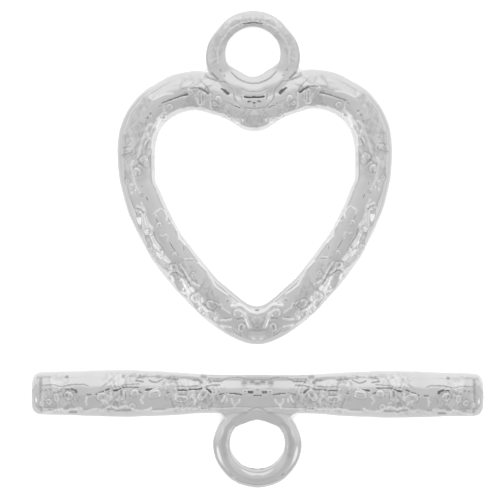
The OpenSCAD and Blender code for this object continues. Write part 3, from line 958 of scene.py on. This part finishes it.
def pebbles(x, y, z, crest_z, specks):
    """The uneven ground between the marks, along the wire's crest: its height, and how rubbed it is,
    less in the gaps between its flat pebbles."""
    strength = np.clip((abs(z) / crest_z - PEBBLE_FROM) / PEBBLE_FULL, 0, 1)
    strength *= np.clip(CALM_MEAN + CALM_CHANGE * wave_sum(CALM_WAVES, x, y), 0, 1)
    level = wave_sum(PEBBLE_WAVES, x, y)
    tops = np.tanh(level / PEBBLE_EDGE)
    gaps = np.exp(-(level / PEBBLE_GAP) ** 2)
    speck = specks * np.tanh(wave_sum(SPECK_WAVES, x, y) / SPECK_LEVEL)
    speck *= np.clip((SPECKS_END[0] - abs(x)) / (SPECKS_END[0] - SPECKS_END[1]), 0, 1)
    wear_and_painted_light = PEBBLE_WORN * tops - PEBBLE_TARNISH * gaps + speck
    return PEBBLE_RISE * strength * tops, strength * wear_and_painted_light


def wobble(across, along, wave):
    """How far a mark strays at a place."""
    return MARK_WOBBLE * np.sin(wave[0] * across + wave[1] * along + wave[2])


def in_photo(x, y, z, middle, axis_px, turn):
    """The photo's pixel at which a point of a casting shows, once folded onto the left half."""
    nearer = CAMERA_HEIGHT / (CAMERA_HEIGHT + PHOTO_PLANE_Z - middle[2] - abs(z))
    eye_x = CAMERA_XY[0] - middle[0]
    eye_y = CAMERA_XY[1] - middle[1]
    left = -abs(eye_x + (x - eye_x) * nearer)
    up = eye_y + (y - eye_y) * nearer
    across, along = turned(left, up, -turn)
    # The marks are uneven by hand
    across = across + wobble(across, along, WOBBLE_WAVES[0])
    along = along + wobble(across, along, WOBBLE_WAVES[1])
    return axis_px[0] + across / PX, axis_px[1] - along / PX


# Height above the castings' middle from which a facet's place on the crest is searched
FACET_START_Z = 1.4


def facet(body, line, middle, axis_px, turn):
    """Lowest place and slope of a facet that mirrors the shade overhead into the camera."""
    u, v = np.array(line, float).T
    x, y = turned((u - axis_px[0]) * PX, (axis_px[1] - v) * PX, turn)
    top = np.full_like(x, FACET_START_Z)
    for _ in range(16):
        top -= body(x, y, top)
    to_camera = np.array([*CAMERA_XY, PHOTO_PLANE_Z + CAMERA_HEIGHT]) - middle
    to_camera -= (x.mean(), y.mean(), top.mean())
    to_camera /= np.linalg.norm(to_camera)
    to_shade = np.array([0, SHADE_Y, math.sqrt(1 - SHADE_Y ** 2)])
    upright = to_camera + to_shade
    slope_x, slope_y = -upright[:2] / upright[2]
    over = top - slope_x * x - slope_y * y
    level = over.min() * FACET_LEVEL[0] + over.mean() * FACET_LEVEL[1] - FACET_SUNK
    return level, slope_x, slope_y


def carve(body, marks, middle, axis_px, turn, crest_z, specks):
    """The field of a casting with its relief, its tone by rubbing and tarnish, with painted highlight
    and shade, at a point, and whether it is marked.
    """
    lumps, lines, dents, facets = marks
    planes = [facet(body, row[0], middle, axis_px, turn) for row in facets]

    def facet_shares(u, v):
        """For each facet, the points near it and how far each is part of it."""
        for line, first_w, last_w in facets:
            near = within(u, v, line, FACET_REACH * max(first_w, last_w))
            q = np.full(len(near), FAR)
            widths = np.linspace(first_w, last_w, len(line))
            for (u0, v0), (u1, v1), half_w in zip(line, line[1:], (widths[1:] + widths[:-1]) / 2):
                q = np.minimum(q, stretch_distance(u[near], v[near], u0, v0, u1, v1) / half_w)
            yield near, np.clip((FACET_REACH - q) / FACET_FADE, 0, 1)

    def carved(x, y, z):
        u, v = in_photo(x, y, z, middle, axis_px, turn)
        fade = np.clip(abs(z) / RELIEF_FADE, 0, 1)
        ground = swell(x, y, z) + pebbles(x, y, z, crest_z, specks)[0]
        distance = body(x, y, z) - relief(u, v, lumps, lines, dents)[0] * fade - ground
        for (near, share), (level, slope_x, slope_y) in zip(facet_shares(u, v), planes):
            plane = level - slope_x * abs(x[near]) + slope_y * y[near]
            distance[near] += (abs(z[near]) - plane - distance[near]) * share
        return distance

    def wear_and_light_at(x, y, z):
        # Tone by rubbing and tarnish, with the relief's painted highlights and painted shade
        u, v = in_photo(x, y, z, middle, axis_px, turn)
        wear_and_painted_light = relief(u, v, lumps, lines, dents)[1] * np.clip(abs(z) / RELIEF_FADE, 0, 1)
        return np.clip(wear_and_painted_light + pebbles(x, y, z, crest_z, specks)[1], -1, 1)

    def marked(x, y, z):
        u, v = in_photo(x, y, z, middle, axis_px, turn)
        found = abs(relief(u, v, lumps, lines, dents)[0]) > LEAST_MARK
        for near, share in facet_shares(u, v):
            found[near] |= share > 0
        return found

    return carved, wear_and_light_at, marked


HEART_MARKS = (HEART_LUMPS, HEART_LINES, HEART_DENTS, HEART_FACETS)
BAR_MARKS = (BAR_LUMPS, BAR_LINES, [], BAR_FACETS)
heart_relief = carve(
    heart_body, HEART_MARKS, heart_middle, HEART_AXIS_PX, HEART_TURN, HEART_CREST_Z, HEART_SPECKS
)
bar_relief = carve(
    bar_body, BAR_MARKS, bar_middle, BAR_MIDDLE_PX, BAR_TURN, BAR_CREST_Z, BAR_SPECKS
)


def new_material(name):
    """A material with one shader, its nodes and links."""
    material = bpy.data.materials.new(name)
    material.use_nodes = True
    nodes = material.node_tree.nodes
    nodes.clear()
    shader = nodes.new("ShaderNodeBsdfPrincipled")
    output = nodes.new("ShaderNodeOutputMaterial")
    material.node_tree.links.new(shader.outputs["BSDF"], output.inputs["Surface"])
    return material, nodes, material.node_tree.links, shader


def calculator(tree):
    """Two functions that add nodes to a tree: one does arithmetic, one a ramp between two values."""

    def maths(operation, *values):
        node = tree.nodes.new("ShaderNodeMath")
        node.operation = operation
        for socket, value in zip(node.inputs, values):
            if isinstance(value, (int, float)):
                socket.default_value = value
            else:
                tree.links.new(value, socket)
        return node.outputs[0]

    def ramp(value, low, high, at_low=0, at_high=1, kind="SMOOTHSTEP"):
        node = tree.nodes.new("ShaderNodeMapRange")
        node.interpolation_type = kind
        tree.links.new(value, node.inputs["Value"])
        node.inputs["From Min"].default_value = low
        node.inputs["From Max"].default_value = high
        node.inputs["To Min"].default_value = at_low
        node.inputs["To Max"].default_value = at_high
        return node.outputs["Result"]

    return maths, ramp


# Silver's reflectance where it is darkest, by tarnish and painted shade, plain, and lightest, by polish
# and painted highlight
TARNISH_AND_SHADE = (0.42, 0.42, 0.42)
PLAIN = (0.76, 0.76, 0.76)
POLISH_AND_HIGHLIGHT = (0.93, 0.93, 0.93)
# Brightness of the painted grey glow that silver shows, in place of its own reflection, where other
# silver mirrors it
PAINTED_MIRROR_GLOW = 0.66
# Cloudy tarnish: from and to which value of its noise, and the brightness there
HAZE = (0.35, 0.7, 1, 0.93)
# Roughness, which goes with the haze: from and to which brightness, and the roughness there
DULLNESS = (0.93, 1, 0.13, 0.06)
# Polishing lines: how they are drawn out, how many there are to a millimetre, and their bump
LINE_STRETCH = (1, 0.12, 0.12)
LINES_PER_MM = 9
LINE_STRENGTH = 0.3
LINE_DEPTH = 0.0015
# How many clouds of tarnish there are to a millimetre
HEART_CLOUDS = 0.35
BAR_CLOUDS = 0.5


def cast_finish():
    """What both silver castings share: tone by rubbing and tarnish with painted highlight and shade,
    cloudy tarnish, and fine lines of polishing.
    """
    group = bpy.data.node_groups.new("cast_finish", "ShaderNodeTree")
    group.interface.new_socket("Cloud Size", in_out="INPUT", socket_type="NodeSocketFloat")
    group.interface.new_socket("Tone", in_out="OUTPUT", socket_type="NodeSocketColor")
    group.interface.new_socket("Roughness", in_out="OUTPUT", socket_type="NodeSocketFloat")
    group.interface.new_socket("Scratches", in_out="OUTPUT", socket_type="NodeSocketFloat")
    nodes = group.nodes
    links = group.links
    ramp = calculator(group)[1]
    inputs = nodes.new("NodeGroupInput")
    outputs = nodes.new("NodeGroupOutput")
    place = nodes.new("ShaderNodeTexCoord")

    # Tone by rubbing and tarnish, with painted highlights and painted shade, which goes from -1 to 1
    wear_and_painted_light = nodes.new("ShaderNodeAttribute")
    wear_and_painted_light.attribute_name = "wear_and_painted_light"
    tone = nodes.new("ShaderNodeValToRGB")
    tone.color_ramp.elements[0].color = (*TARNISH_AND_SHADE, 1)
    tone.color_ramp.elements[1].color = (*POLISH_AND_HIGHLIGHT, 1)
    tone.color_ramp.elements.new(0.5).color = (*PLAIN, 1)
    links.new(ramp(wear_and_painted_light.outputs["Fac"], -1, 1, kind="LINEAR"), tone.inputs["Fac"])

    # Cloudy tarnish over the whole casting
    cloud = nodes.new("ShaderNodeTexNoise")
    links.new(place.outputs["Object"], cloud.inputs["Vector"])
    links.new(inputs.outputs["Cloud Size"], cloud.inputs["Scale"])
    cloud.inputs["Detail"].default_value = 4
    haze = ramp(cloud.outputs["Fac"], *HAZE, kind="LINEAR")
    hazed = nodes.new("ShaderNodeVectorMath")
    hazed.operation = "SCALE"
    links.new(tone.outputs["Color"], hazed.inputs[0])
    links.new(haze, hazed.inputs["Scale"])
    links.new(hazed.outputs[0], outputs.inputs["Tone"])

    # Places under the haze are duller
    links.new(ramp(haze, *DULLNESS, kind="LINEAR"), outputs.inputs["Roughness"])

    # Polishing lines are drawn out along Y and Z, so they run round the bar
    stretch = nodes.new("ShaderNodeMapping")
    links.new(place.outputs["Object"], stretch.inputs["Vector"])
    stretch.inputs["Scale"].default_value = LINE_STRETCH
    lines = nodes.new("ShaderNodeTexNoise")
    links.new(stretch.outputs["Vector"], lines.inputs["Vector"])
    lines.inputs["Scale"].default_value = LINES_PER_MM / MM
    lines.inputs["Detail"].default_value = 3
    links.new(lines.outputs["Fac"], outputs.inputs["Scratches"])
    return group


FINISH = cast_finish()


def silver_material(name, clouds_per_mm):
    """Silver with the finish that the castings share, and a painted grey glow where other silver
    mirrors it.
    """
    material, nodes, links, shader = new_material(name)
    shader.inputs["Metallic"].default_value = 1
    finish = nodes.new("ShaderNodeGroup")
    finish.node_tree = FINISH
    finish.inputs["Cloud Size"].default_value = clouds_per_mm / MM
    links.new(finish.outputs["Roughness"], shader.inputs["Roughness"])
    # Where other silver mirrors it, silver turns black and glows an even grey: a painted reflection
    path = nodes.new("ShaderNodeLightPath")
    tone = nodes.new("ShaderNodeMix")
    tone.data_type = "RGBA"
    links.new(path.outputs["Is Glossy Ray"], tone.inputs["Factor"])
    links.new(finish.outputs["Tone"], tone.inputs["A"])
    tone.inputs["B"].default_value = (0, 0, 0, 1)
    links.new(tone.outputs["Result"], shader.inputs["Base Color"])
    shader.inputs["Emission Color"].default_value = (PAINTED_MIRROR_GLOW, PAINTED_MIRROR_GLOW, PAINTED_MIRROR_GLOW, 1)
    links.new(path.outputs["Is Glossy Ray"], shader.inputs["Emission Strength"])
    bump = nodes.new("ShaderNodeBump")
    bump.inputs["Strength"].default_value = LINE_STRENGTH
    bump.inputs["Distance"].default_value = LINE_DEPTH * MM
    links.new(finish.outputs["Scratches"], bump.inputs["Height"])
    links.new(bump.outputs["Normal"], shader.inputs["Normal"])
    return material


# Brightness of the tent as a whole
TENT_LIGHT = 1.28
# How its parts change with the direction toward them, a vector of length 1: from and to which value,
# and the light there. The roof and the sides:
ROOF_BY_Y = (-0.35, 0.1, 0.5, 0.58)
SIDES_BY_X = (0.3, 0.9, 0, 0.05)
# The bright back wall, within 40 degrees of +Y and below 45 degrees, where slant is X over Y
WALL_BY_Y = (0.45, 0.75, 0, 0.2)
WALL_BY_SLANT = (0.7, 1, 1, 0)
SLANT_LEAST_Y = 0.05
# The dim rim low down, where the tent meets the table, but not at the bright wall
RIM_BY_Y = (0.25, 0.5, 0.3, 0)
RIM_BY_Z = (0, 0.2, 1, 0)
# A soft lamp on each side, toward -Y: its direction, the half width of its glow, and the glow by
# the distance from its middle in half widths
LAMP_WAY = (0.73, -0.5, 0.46)
LAMP_HALF = 0.26
LAMP_GLOW = (0.6, 1.15, 0.36, 0)
# The dark slot overhead: the share of the light that it leaves, by the distance from its middle in
# half widths, and how much of it there is by height
SLOT_LEAVES = (0.75, 1.25, 0.14, 1)
SLOT_BY_Z = (0.3, 0.6, 0, 1)


def light_tent():
    """World light of a white tent, by direction: bright wall at +Y, side lamps, dark slot overhead."""
    world = bpy.data.worlds.new("light_tent")
    bpy.context.scene.world = world
    world.use_nodes = True
    nodes = world.node_tree.nodes
    links = world.node_tree.links
    nodes.clear()
    maths, ramp = calculator(world.node_tree)
    place = nodes.new("ShaderNodeTexCoord")
    split = nodes.new("ShaderNodeSeparateXYZ")
    links.new(place.outputs["Generated"], split.inputs[0])
    x, y, z = split.outputs
    side = maths("ABSOLUTE", x)
    roof = ramp(y, *ROOF_BY_Y)
    sides = ramp(side, *SIDES_BY_X)
    slant = maths("DIVIDE", side, maths("MAXIMUM", y, SLANT_LEAST_Y))
    wall = maths("MULTIPLY", ramp(y, *WALL_BY_Y), ramp(slant, *WALL_BY_SLANT))
    rim = maths("SUBTRACT", 1, maths("MULTIPLY", ramp(y, *RIM_BY_Y), ramp(z, *RIM_BY_Z)))
    off_lamp = 0
    for part, way in zip((side, y, z), LAMP_WAY):
        off = maths("DIVIDE", maths("SUBTRACT", part, way), LAMP_HALF)
        off_lamp = maths("MULTIPLY_ADD", off, off, off_lamp)
    lamps = ramp(maths("SQRT", off_lamp), *LAMP_GLOW)
    # The slot lies just toward +Y
    slot_y = maths("DIVIDE", maths("SUBTRACT", y, SHADE_Y), SHADE_HALF[0])
    slot_x = maths("DIVIDE", x, SHADE_HALF[1])
    off_slot = maths("SQRT", maths("MULTIPLY_ADD", slot_y, slot_y, maths("MULTIPLY", slot_x, slot_x)))
    taken = maths("SUBTRACT", 1, ramp(off_slot, *SLOT_LEAVES))
    slot = maths("SUBTRACT", 1, maths("MULTIPLY", ramp(z, *SLOT_BY_Z), taken))
    light = maths("ADD", maths("ADD", roof, sides), maths("ADD", wall, lamps))
    light = maths("MULTIPLY", maths("MULTIPLY", light, rim), maths("MULTIPLY", slot, TENT_LIGHT))
    background = nodes.new("ShaderNodeBackground")
    links.new(light, background.inputs["Strength"])
    background.inputs["Color"].default_value = (1, 1, 1, 1)
    output = nodes.new("ShaderNodeOutputWorld")
    links.new(background.outputs[0], output.inputs["Surface"])


# The paper: half its side, its roughness and how white it is
PAPER_HALF = 900
PAPER_ROUGHNESS = 0.9
PAPER_WHITE = 0.9
# How bright the paper glows where the silver mirrors it
PAPER_TONE = 0.88
# Painted brighter and darker patches on that glow: side from and to, Y from and to, softness, for
# mirrored rays longer than this, change
PAPER_TONES = [
    (-9, 999, -6.8, 999, 0.5, 0, 0.135),
    (-9, 5.5, 0, 4.4, 0.8, 0, 0.035),
    (7.8, 60, -1.6, 60, 0.8, 0, -0.15),
    (7.8, 60, -1.6, 60, 0.8, 2.2, -0.095),
    (7.8, 12.6, -1.6, 60, 0.8, 4.5, 0.245),
    (-9, 3, -7.2, -5, 0.6, 0, -0.21),
    (-9, 5, -3.6, -0.4, 0.6, 0, -0.17),
    (-9, 999, -60, -9.3, 0.5, 0, -0.06),
]
# The silver's underside mirrors its own shade on the paper: how dark, and for rays how short
UNDER_SHADE = 0.5
UNDER_REACH = (0.15, 0.7)


def paper_floor():
    """White paper under the clasp: plain white to the eye; where the silver mirrors it, it glows pale
    grey with painted brighter and darker patches and a painted shadow.
    """
    half = PAPER_HALF * MM
    mesh = bpy.data.meshes.new("paper_floor")
    mesh.from_pydata(
        [(-half, -half, 0), (half, -half, 0), (half, half, 0), (-half, half, 0)], [], [(0, 1, 2, 3)]
    )
    floor = bpy.data.objects.new("paper_floor", mesh)
    bpy.context.scene.collection.objects.link(floor)
    material, nodes, links, shader = new_material("white_paper")
    shader.inputs["Roughness"].default_value = PAPER_ROUGHNESS
    shader.inputs["Specular IOR Level"].default_value = 0
    path = nodes.new("ShaderNodeLightPath")
    place = nodes.new("ShaderNodeTexCoord")
    split = nodes.new("ShaderNodeSeparateXYZ")
    links.new(place.outputs["Object"], split.inputs[0])
    maths, ramp = calculator(material.node_tree)

    def rise(value, low, high):
        return ramp(value, low * MM, high * MM)

    def between(value, low, high, soft):
        return maths(
            "MULTIPLY", rise(value, low - soft, low + soft), rise(value, high + soft, high - soft)
        )

    reach = path.outputs["Ray Length"]
    side = maths("ABSOLUTE", split.outputs["X"])
    tone = PAPER_TONE
    for left, right, bottom, top, soft, longer, amount in PAPER_TONES:
        across = between(side, left, right, soft)
        inside = maths("MULTIPLY", across, between(split.outputs["Y"], bottom, top, soft))
        if longer:
            inside = maths("MULTIPLY", inside, rise(reach, longer - soft, longer + soft))
        tone = maths("ADD", tone, maths("MULTIPLY", inside, amount))
    shade = rise(reach, UNDER_REACH[1], UNDER_REACH[0])
    tone = maths("SUBTRACT", tone, maths("MULTIPLY", shade, UNDER_SHADE))
    # What the camera sees, and the painted glow that the silver mirrors
    glossy = path.outputs["Is Glossy Ray"]
    mix = nodes.new("ShaderNodeMix")
    links.new(glossy, mix.inputs[0])
    mix.inputs[2].default_value = PAPER_WHITE
    mix.inputs[3].default_value = 0
    links.new(mix.outputs[0], shader.inputs["Base Color"])
    shader.inputs["Emission Color"].default_value = (1, 1, 1, 1)
    links.new(maths("MULTIPLY", tone, glossy), shader.inputs["Emission Strength"])
    floor.data.materials.append(material)


# The light on the paper: its width, height and watts
OVERHEAD_WIDTH = 500
OVERHEAD_Z = 400
OVERHEAD_POWER = 3.2
# What the camera sees begins and ends at these distances
CAMERA_CLIP = (1, 2000)


def overhead_light():
    """Soft light on the paper, which the silver doesn't mirror."""
    light = bpy.data.lights.new("overhead_light", "AREA")
    light.shape = "DISK"
    light.size = OVERHEAD_WIDTH * MM
    light.energy = OVERHEAD_POWER
    lamp = bpy.data.objects.new("overhead_light", light)
    lamp.location = (0, 0, OVERHEAD_Z * MM)
    lamp.visible_glossy = False
    lamp.visible_camera = False
    bpy.context.scene.collection.objects.link(lamp)


def photo_camera():
    """Camera straight above, framed as the photo."""
    data = bpy.data.cameras.new("photo_camera")
    half = PHOTO_SIDE / 2 * PX
    data.lens = data.sensor_width / 2 * CAMERA_HEIGHT / half
    data.clip_start = CAMERA_CLIP[0] * MM
    data.clip_end = CAMERA_CLIP[1] * MM
    camera = bpy.data.objects.new("photo_camera", data)
    camera.location = (CAMERA_XY[0] * MM, CAMERA_XY[1] * MM, (PHOTO_PLANE_Z + CAMERA_HEIGHT) * MM)
    bpy.context.scene.collection.objects.link(camera)
    bpy.context.scene.camera = camera


heart = cast(
    "heart_casting", heart_body, *heart_relief, HEART_BOX, HEART_CELL, heart_middle, HEART_TURN,
)
bar = cast(
    "bar_casting", bar_body, *bar_relief, BAR_BOX, BAR_CELL, bar_middle, BAR_TURN,
)
for piece, node, slot, clouds_per_mm in (
    (heart, "heart_ring", "heart_silver", HEART_CLOUDS),
    (bar, "toggle_bar", "bar_silver", BAR_CLOUDS),
):
    piece.data.materials.append(silver_material(slot, clouds_per_mm))
    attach(piece, "root")
    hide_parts(node)

light_tent()
paper_floor()
overhead_light()
photo_camera()
bpy.context.scene.view_settings.view_transform = "Standard"
